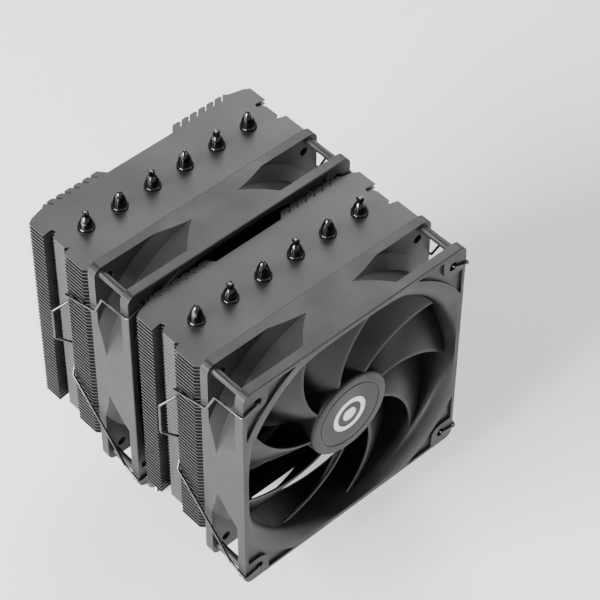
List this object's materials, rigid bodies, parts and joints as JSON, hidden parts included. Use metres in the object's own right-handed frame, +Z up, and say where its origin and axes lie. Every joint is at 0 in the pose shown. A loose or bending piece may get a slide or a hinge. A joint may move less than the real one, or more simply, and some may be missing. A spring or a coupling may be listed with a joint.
{
  "type": "cpu tower cooler",
  "caption": "Black twin-tower air cooler: stacked fins on bent heat pipes over a cold plate, with square axial fans held by spring-wire clips.",
  "frame": {"origin": "centre of the cold plate's contact face", "axes": "+Z up out of the cold plate towards the pipe ends, +X along the width of the fins, the outer fan faces -Y"},
  "size_m": [0.1306, 0.137, 0.155],
  "materials": {
    "nickel_plate": "fine brushed nickel plate",
    "block_metal": "black anodised",
    "bar_steel": "black powder coat",
    "screw_steel": "dark nickel plate",
    "fin_metal": "black coated aluminium, satin",
    "top_fin_metal": "black coated aluminium, satin",
    "cap_metal": "glossy black nickel",
    "pipe_metal": "glossy black nickel on copper",
    "spring_steel": "bright spring wire",
    "frame_plastic": "moulded, fine matt grain",
    "blade_plastic": "moulded, fine matt grain",
    "badge_print": "light satin foil",
    "shaft_steel": "ground steel",
    "yoke_steel": "zinc plated",
    "magnet_ferrite": "bonded ferrite",
    "sleeve_bronze": "sintered bronze",
    "core_steel": "varnished laminations",
    "coil_copper": "enamelled copper",
    "board_laminate": "green solder mask",
    "label_film": "plain dark film",
    "clip_wire": "blackened spring wire"
  },
  "bodies": {
    "heatsink": {"cold_plate": "nickel_plate", "base_block": "block_metal", "mount_crossbar": "bar_steel", "bar_screws": "screw_steel", "heat_pipe_1": "pipe_metal", "heat_pipe_2": "pipe_metal", "heat_pipe_3": "pipe_metal", "heat_pipe_4": "pipe_metal", "heat_pipe_5": "pipe_metal", "heat_pipe_6": "pipe_metal", "front_fin_stack": "fin_metal", "front_top_fin": "top_fin_metal", "front_pipe_caps": "cap_metal", "rear_fin_stack": "fin_metal", "rear_top_fin": "top_fin_metal", "rear_pipe_caps": "cap_metal", "left_spring": "spring_steel", "right_spring": "spring_steel"},
    "left_ring": {"left_screw_ring": "screw_steel"},
    "left_screw": {"left_mount_screw": "screw_steel"},
    "right_ring": {"right_screw_ring": "screw_steel"},
    "right_screw": {"right_mount_screw": "screw_steel"},
    "front_fan": {"front_fan_frame": "frame_plastic", "front_fan_bearing_sleeve": "sleeve_bronze", "front_fan_stator_core": "core_steel", "front_fan_stator_coils": "coil_copper", "front_fan_circuit_board": "board_laminate", "front_fan_rear_label": "label_film"},
    "front_rotor": {"front_fan_impeller": "blade_plastic", "front_fan_hub_badge": "badge_print", "front_fan_shaft": "shaft_steel", "front_fan_shaft_clip": "shaft_steel", "front_fan_rotor_yoke": "yoke_steel", "front_fan_rotor_magnet": "magnet_ferrite"},
    "front_fan_clip_left": {"front_fan_clip_left": "clip_wire"},
    "front_fan_clip_right": {"front_fan_clip_right": "clip_wire"},
    "middle_fan": {"middle_fan_frame": "frame_plastic", "middle_fan_bearing_sleeve": "sleeve_bronze", "middle_fan_stator_core": "core_steel", "middle_fan_stator_coils": "coil_copper", "middle_fan_circuit_board": "board_laminate", "middle_fan_rear_label": "label_film"},
    "middle_rotor": {"middle_fan_impeller": "blade_plastic", "middle_fan_hub_badge": "badge_print", "middle_fan_shaft": "shaft_steel", "middle_fan_shaft_clip": "shaft_steel", "middle_fan_rotor_yoke": "yoke_steel", "middle_fan_rotor_magnet": "magnet_ferrite"},
    "middle_fan_clip_left": {"middle_fan_clip_left": "clip_wire"},
    "middle_fan_clip_right": {"middle_fan_clip_right": "clip_wire"}
  },
  "joints": [
    {"name": "left_screw_press", "type": "slide", "parent": "heatsink", "child": "left_ring", "axis": [0, 0, -1], "range_m": [0, 0.006], "stiffness_N_per_m": 1500, "springref_m": -0.001, "deforming": ["left_spring"]},
    {"name": "left_screw_turn", "type": "hinge", "parent": "left_ring", "child": "left_screw", "pos_m": [-0.041, 0, 0.015], "axis": [0, 0, 1], "continuous": true},
    {"name": "right_screw_press", "type": "slide", "parent": "heatsink", "child": "right_ring", "axis": [0, 0, -1], "range_m": [0, 0.006], "stiffness_N_per_m": 1500, "springref_m": -0.001, "deforming": ["right_spring"]},
    {"name": "right_screw_turn", "type": "hinge", "parent": "right_ring", "child": "right_screw", "pos_m": [0.041, 0, 0.015], "axis": [0, 0, 1], "continuous": true},
    {"name": "front_fan_lift", "type": "slide", "parent": "heatsink", "child": "front_fan", "axis": [0, 0, 1], "range_m": [0, 0.03]},
    {"name": "front_rotor_spin", "type": "hinge", "parent": "front_fan", "child": "front_rotor", "pos_m": [0, -0.0685, 0.091], "axis": [0, 1, 0], "continuous": true},
    {"name": "front_fan_clip_left_swing", "type": "hinge", "parent": "front_fan", "child": "front_fan_clip_left", "pos_m": [-0.0525, -0.0795, 0.091], "axis": [0, 0, 1], "range_deg": [0, 20]},
    {"name": "front_fan_clip_right_swing", "type": "hinge", "parent": "front_fan", "child": "front_fan_clip_right", "pos_m": [0.0525, -0.0795, 0.091], "axis": [0, 0, -1], "range_deg": [0, 20]},
    {"name": "middle_fan_lift", "type": "slide", "parent": "heatsink", "child": "middle_fan", "axis": [0, 0, 1], "range_m": [0, 0.03]},
    {"name": "middle_rotor_spin", "type": "hinge", "parent": "middle_fan", "child": "middle_rotor", "pos_m": [0, -0.0005, 0.091], "axis": [0, 1, 0], "continuous": true},
    {"name": "middle_fan_clip_left_swing", "type": "hinge", "parent": "middle_fan", "child": "middle_fan_clip_left", "pos_m": [-0.0525, -0.0115, 0.091], "axis": [0, 0, 1], "range_deg": [0, 20]},
    {"name": "middle_fan_clip_right_swing", "type": "hinge", "parent": "middle_fan", "child": "middle_fan_clip_right", "pos_m": [0.0525, -0.0115, 0.091], "axis": [0, 0, -1], "range_deg": [0, 20]}
  ]
}
